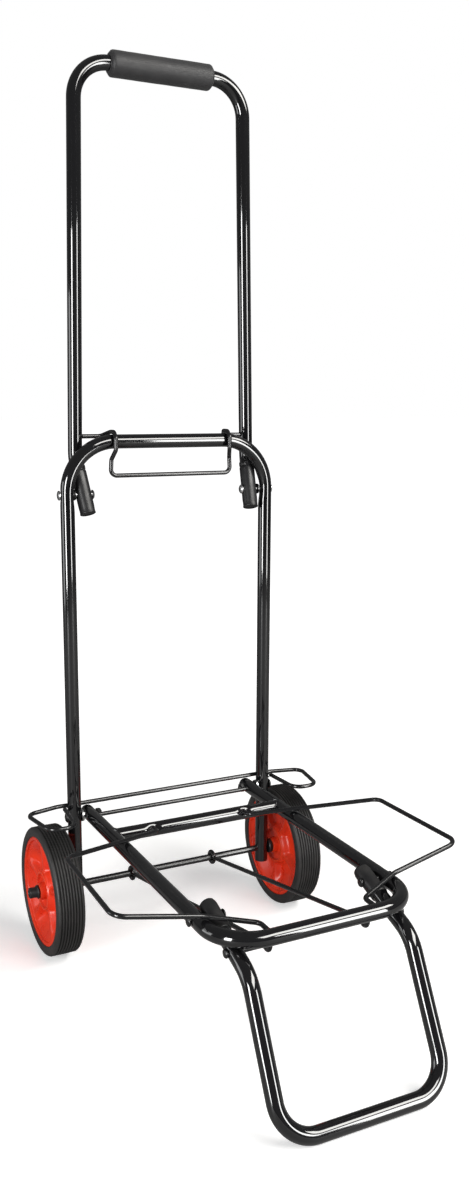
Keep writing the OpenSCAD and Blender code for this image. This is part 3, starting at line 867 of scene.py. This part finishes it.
def tyreMesh(side):
    w = wheel
    outer, hub, half = w["tyre"], w["hub"], w["half"]
    profile = [(hub, half - 1.2), (hub + 0.8, half - 0.9), (hub + 1.2, half - 0.5), (hub + 2.2, half - 0.2),
               (hub + 3.4, half - 0.1), (outer - 5.4, half), (outer - 4.2, half - 0.1),
               (outer - 2.6, half - 0.5),
               (outer - 1.3, half - 1.3), (outer - 0.5, half - 2.4), (outer - 0.15, half - 3.2)]
    tread = 2 * (half - 3)
    pitch = tread / w["grooves"]
    for g in range(w["grooves"]):
        middle = half - 3 - (g + 0.5) * pitch
        crown = outer - 0.35 * (middle / half) ** 2
        for reach, drop in ((1.35, 0.0), (1.1, 0.1), (0.9, 0.6), (0.6, 1.6), (0.0, 1.9), (-0.6, 1.6),
                            (-0.9, 0.6), (-1.1, 0.1), (-1.35, 0.0)):
            profile.append((crown - drop, middle + reach))
    profile += [(r, -x) for r, x in profile[10::-1]]
    profile.append(profile[0])
    centre = place(side * w["centre"], 0, 75)
    return lathe(profile, centre, (1, 0, 0), "tyre", 160, 50)


def makeWheels():
    for side, name in ((-1, "left"), (1, "right")):
        piece("wheelHub" + name.capitalize(), hubMesh(side), "red_plastic", "wheel_" + name,
              ["wheel_hub_" + name])
        piece("tyre" + name.capitalize(), tyreMesh(side), "tyre", "wheel_" + name, ["tyre_" + name])


makeWheels()
print("wheels done")


# top handle, its sleeves and the foam grip

handle = {"pivot": (104.8, 3, 537), "knee": (108.5, 19.2, 577.096), "corner": (101, 19.2, 1000), "bend": 40,
          "below": 21, "sleeveRise": 34, "sleeveRadius": 9}
grip = {"radius": 14, "length": 122, "chamfer": 3}


def flipX(v):
    return Vector((-v.x, v.y, v.z))


def sleeveMesh(start, direction, length, radius, slot):
    r = radius
    profile = [(0, 1.2), (r - 2.4, 1.0), (r - 1.7, 0.1), (r - 0.9, 0), (r - 0.1, 0.35), (r, 1.0),
               (r - 0.15, 1.7), (r - 0.3, 2.3),
               (r - 0.25, 6), (r, 9), (r, length - 9), (r - 0.05, length - 7.2), (r - 0.55, length - 6.4),
               (r - 0.6, length - 5.4), (r - 0.1, length - 4.6), (r, length - 3.6), (r, length - 1.2),
               (r - 0.25, length - 0.4), (r - 0.7, length), (r - 0.95, length - 0.2), (r - 0.95, length - 3)]
    return lathe(profile, start, direction, slot, 48, 60)


def makeHandle():
    h = handle
    pivot, knee, corner = (place(*h[k]) for k in ("pivot", "knee", "corner"))
    along = (knee - pivot).normalized()
    end = pivot - along * h["below"] * mm
    points = [flipX(end), flipX(knee), flipX(corner), corner, knee, end]
    tube = rod(points, [0, h["bend"], h["bend"], h["bend"], h["bend"], 0], tubes["radius"], "painted_tube",
               tubes["sides"])
    piece("topHandleTube", tube, "painted_tube", "handle", ["top_handle"])
    length = h["below"] + 2 + h["sleeveRise"]
    start = end - along * 2 * mm
    sleeve = sleeveMesh(start, along, length, h["sleeveRadius"], "black_plastic")
    piece("handleSleeveRight", sleeve, "black_plastic", "handle", ["handle_sleeve_right"])
    piece("handleSleeveLeft", mirrored(sleeve), "black_plastic", "handle", ["handle_sleeve_left"])
    makeGrip(corner)
    return end, along


def makeGrip(corner):
    g = grip
    half, r, c = g["length"] / 2, g["radius"], g["chamfer"]
    side = [(8.05, 0), (8.6, 0.5), (9.4, 0.15), (r - c - 0.6, 0.0), (r - c + 0.2, 0.25), (r - 0.5, c - 0.7),
            (r - 0.1, c + 0.3), (r, c + 1.6)]
    steps = 40
    profile = [(a, -half + b) for a, b in side]
    profile += [(r, -half + side[-1][1] + (2 * half - 2 * side[-1][1]) * k / steps) for k in range(1, steps)]
    profile += [(a, half - b) for a, b in side[::-1]]
    profile.append(profile[0])
    foam = lathe(profile, Vector((0, corner.y, corner.z)), (1, 0, 0), "foam", 96, 50)
    for v in foam.vertices:
        around = Vector((0, v.co.y - corner.y, v.co.z - corner.z))
        if around.length > 9.5 * mm:
            v.co -= around.normalized() * 0.16 * mm * (noise.noise(v.co * 90) + 0.55)
    gripPiece = piece("foamGrip", foam, "foam", "handle", ["foam_grip"])


handleEnd, handleAlong = makeHandle()
print("handle done")


# latch wire

latch = {"endX": 99.6, "loopX": 71, "back": 19.2, "lift": 5.5, "over": 10.8, "wire": 2.5}


def makeLatch():
    w, top = latch, backFrame["top"]
    x, over = w["loopX"], w["over"]
    right = [place(w["endX"], w["back"], top + w["lift"]), place(x + 7, w["back"], top + w["lift"]),
             place(x, 4, top + over), place(x, -6.5, top + over),
             place(x, -over - 1.6, top + 4), place(x, -over - 1.2, top - 9),
             place(x + 3, -5, top - 20), place(x + 4, -5, top - 38)]
    wire = rod([flipX(p) for p in right] + right[::-1], [0, 5, 5, 5, 5, 5, 5, 7, 7, 5, 5, 5, 5, 5, 5, 0],
               w["wire"], "painted_wire", 20, 3.0)
    piece("latchWire", hardenCaps(wire), "painted_wire", "latch", ["latch_wire"])


makeLatch()


# platform

platform = {"railX": 106, "z": 160, "tail": 9, "front": -361, "bend": 45, "crossY": -76, "wireY": -9,
            "footPivotY": -300}


def saddleLine(side, radius, railX, y, z):
    # the line where a cross tube meets a rail
    line = []
    for k in range(48):
        a = 2 * math.pi * k / 48
        lift, back = radius * math.cos(a), radius * math.sin(a)
        reach = railX - math.sqrt(max(0.0, tubes["radius"] ** 2 - lift ** 2))
        line.append(place(side * (reach - 0.3), y + back, z + lift))
    return line


def makePlatform():
    p = platform
    x, z = p["railX"], p["z"]
    points = [place(-x, p["tail"], z), place(-x, p["front"], z), place(x, p["front"], z),
              place(x, p["tail"], z)]
    tube = rod(points, [0, p["bend"], p["bend"], 0], tubes["radius"], "painted_tube", tubes["sides"], 3.0)
    for side in (-1, 1):
        press(tube, place(side * (x + 8), 0, z), (-side * 0.8, 0, 0), (6, 14, 8))
        press(tube, place(side * (x - 8), 0, z), (side * 0.8, 0, 0), (6, 12, 8))
        press(tube, place(side * (x + 8), p["footPivotY"], z), (-side * 0.9, 0, 0), (6, 12, 9))
        press(tube, place(side * (x - 8), p["footPivotY"], z), (side * 0.9, 0, 0), (6, 12, 9))
        press(tube, place(side * 58, p["front"] + 8, z + 3), (0, -0.6, -0.4), (7, 6, 6))
    piece("platformFrameTube", tube, "painted_tube", "platform", ["platform_frame"])
    cross = rod([place(-x + 0.5, p["crossY"], z), place(x - 0.5, p["crossY"], z)], [0, 0], tubes["radius"],
                "painted_tube", tubes["sides"], 2.5)
    for side in (-1, 1):
        press(cross, place(side * 58, p["crossY"] - 7.0, z + 4.5), (0, 2.2, -1.6), (11, 8, 8))
    piece("crossTube", cross, "painted_tube", "platform", ["cross_tube"])
    wire = rod([place(-x + 4, p["wireY"], z + 1), place(x - 4, p["wireY"], z + 1)], [0, 0], 2.5,
               "painted_wire", 20)
    piece("platformCrossWire", wire, "painted_wire", "platform", ["platform_cross_wire"])
    beads = []
    for side in (-1, 1):
        beads.append(weldBead(saddleLine(side, 8.1, x, p["crossY"], z), 1.0, True, seed=3.0 + side))
        beads.append(weldBead(saddleLine(side, 2.7, x, p["wireY"], z + 1), 0.9, True, seed=7.0 + side))
    piece("platformWelds", beads, "painted_wire", "platform")
    dome = [(8.0 * math.cos(math.radians(d)),
             0.05 + 8.0 * math.sin(math.radians(d))) for d in range(0, 90, 9)] + [(0, 8.05)]

    def plug():
        return lathe([(0, -5.9), (6.4, -5.9), (6.4, 0.05), (7.9, 0.05)] + dome, place(x, p["tail"], z),
                     (0, 1, 0), "black_plastic", 48)

    piece("railEndPlugs", bothEnds(plug), "black_plastic", "platform", ["rail_end_plugs"])

    def pin():
        centre = place(0, p["footPivotY"], z)
        outer = lathe(pinProfile(78, 114, 3, 5, 2.5), centre, (1, 0, 0), "painted_wire", 40)
        inner = lathe([(0, 76.4), (2.6, 76.5), (4.4, 77.0), (5, 77.8), (5, 78.4), (4.8, 78.6), (0, 78.6)],
                      centre, (1, 0, 0), "painted_wire", 40, 50)
        both = bmesh.new()
        both.from_mesh(outer)
        both.from_mesh(inner)
        return meshFrom(both, "painted_wire", 50)

    piece("footPivotPins", bothEnds(pin), "painted_wire", "platform", ["foot_pivot_pins"])


makePlatform()
print("platform done")


# side wings

wing = {"pivotX": 58, "pivotZ": 163, "tilt": 9.7, "out": 136.5, "wire": 2.5,
        "bends": [0, 7, 14, 14, 20, 7, 0]}


def makeWings():
    w = wing
    out = w["out"]
    flat = [(0, -73), (0, -91), (out - 3, -166), (out, -309), (50, -317), (0, -337), (0, -364)]
    tilt = math.radians(w["tilt"])
    points = [place(w["pivotX"] + x * math.cos(tilt), y, w["pivotZ"] + x * math.sin(tilt)) for x, y in flat]
    wire = hardenCaps(rod(points, w["bends"], w["wire"], "painted_wire", 20, 4.0))
    piece("wingWireRight", wire, "painted_wire", "wing_right", ["wing_wire_right"])
    piece("wingWireLeft", mirrored(wire), "painted_wire", "wing_left", ["wing_wire_left"])


makeWings()


# front foot and stays

foot = {"x": 88, "pivot": (-300, 160), "knee": (-374, 134), "floor": (-439, 8), "bend": 35, "kneeBend": 40,
        "back": 16, "sleeveFront": 22, "rodY": -344, "rodZ": 144.54, "rodRadius": 3, "rodReach": 79.6,
        "sleeveRadius": 9.0}
stays = {"x": 54, "rearEye": 6.56, "frontEye": 5.55, "wire": 2.5, "crimp": 4.6}


def makeFoot():
    f = foot
    pivot, knee, corner = (place(f["x"], *f[k]) for k in ("pivot", "knee", "floor"))
    along = (knee - pivot).normalized()
    end = pivot - along * f["back"] * mm
    points = [flipX(end), flipX(knee), flipX(corner), corner, knee, end]
    tube = rod(points, [0, f["kneeBend"], f["bend"], f["bend"], f["kneeBend"], 0], tubes["radius"],
               "painted_tube", tubes["sides"])
    piece("footTube", tube, "painted_tube", "foot", ["foot_tube"])
    r = f["sleeveRadius"]
    length = f["back"] + 2 + f["sleeveFront"]
    profile = [(0, 0), (3.4, 0.25), (6.0, 1.1), (7.8, 2.6), (8.7, 4.6), (r, 7.0), (r, length - 1.2),
               (r - 0.3, length - 0.3), (r - 0.7, length), (r - 0.95, length - 0.3), (r - 0.95, length - 3)]
    sleeve = lathe(profile, end - along * 2 * mm, along, "black_plastic", 48, 60)
    piece("footSleeveRight", sleeve, "black_plastic", "foot", ["foot_sleeve_right"])
    piece("footSleeveLeft", mirrored(sleeve), "black_plastic", "foot", ["foot_sleeve_left"])
    rodLine = place(0, f["rodY"], f["rodZ"])
    heads = bothEnds(lambda: lathe([(0, 90), (3, 90), (3, 96.1), (4.3, 96.1), (4.5, 96.4), (4.5, 97.6),
                                    (3.9, 98.5), (2.2, 99), (0, 99)],
                                   rodLine, (1, 0, 0), "painted_wire", 40, 50))
    piece("footRodHeads", heads, "painted_wire", "foot", ["foot_rod_heads"])
    cross = rod([place(-f["rodReach"], f["rodY"], f["rodZ"]), place(f["rodReach"], f["rodY"], f["rodZ"])],
                [0, 0], f["rodRadius"], "painted_wire", 24, 1.5)
    for side in (-1, 1):
        for offset in (-stays["crimp"], stays["crimp"]):
            for face in (-1, 1):
                ear = place(side * stays["x"] + offset, f["rodY"] + face * 3, f["rodZ"])
                press(cross, ear, (0, face * 1.5, 0), (2.2, 3, 3))
                press(cross, place(side * stays["x"] + offset, f["rodY"], f["rodZ"] + face * 3),
                      (0, 0, -face * 0.8), (2.2, 3, 3))
    piece("footCrossRod", hardenCaps(cross), "painted_wire", "stay", ["foot_cross_rod"])


def eyeLine(centre, radius, towards):
    # a bent eye: the shank's wire runs once round the rod and stops beside itself
    other = towards.cross(Vector((1, 0, 0)))
    angles = (math.radians(d) for d in range(0, 344, 8))
    return [centre + (towards * math.cos(a) + other * math.sin(a)) * radius for a in angles]


def makeStays():
    f = foot
    rear = place(stays["x"], 0, hardware["axleZ"])
    front = place(stays["x"], f["rodY"], f["rodZ"])
    along = (front - rear).normalized()
    rearEye, frontEye = stays["rearEye"] * mm, stays["frontEye"] * mm
    line = eyeLine(rear, rearEye, along)[::-1]
    shankStart, shankEnd = rear + along * (rearEye + 2 * mm), front - along * (frontEye + 2 * mm)
    count = 60
    line += [shankStart.lerp(shankEnd, k / count) for k in range(count + 1)]
    line += eyeLine(front, frontEye, -along)
    stay = hardenCaps(grown(lineMesh(line), "sweptRod", Radius=stays["wire"] * mm, Sides=20,
                            Material=materials["painted_wire"]))
    piece("stayRodRight", stay, "painted_wire", "stay", ["stay_rod_right"])
    piece("stayRodLeft", mirrored(stay), "painted_wire", "stay", ["stay_rod_left"])


makeFoot()
makeStays()
print("wings, foot and stays done")

for name, node in frame["nodes"].items():
    if not node.hide_render:
        slotName = next(p["material_slot"] for p in frame["record"]["subparts"] if p["node"] == name)
        node.data.materials.clear()
        node.data.materials.append(materials[slotName])
        print("carried over:", name)
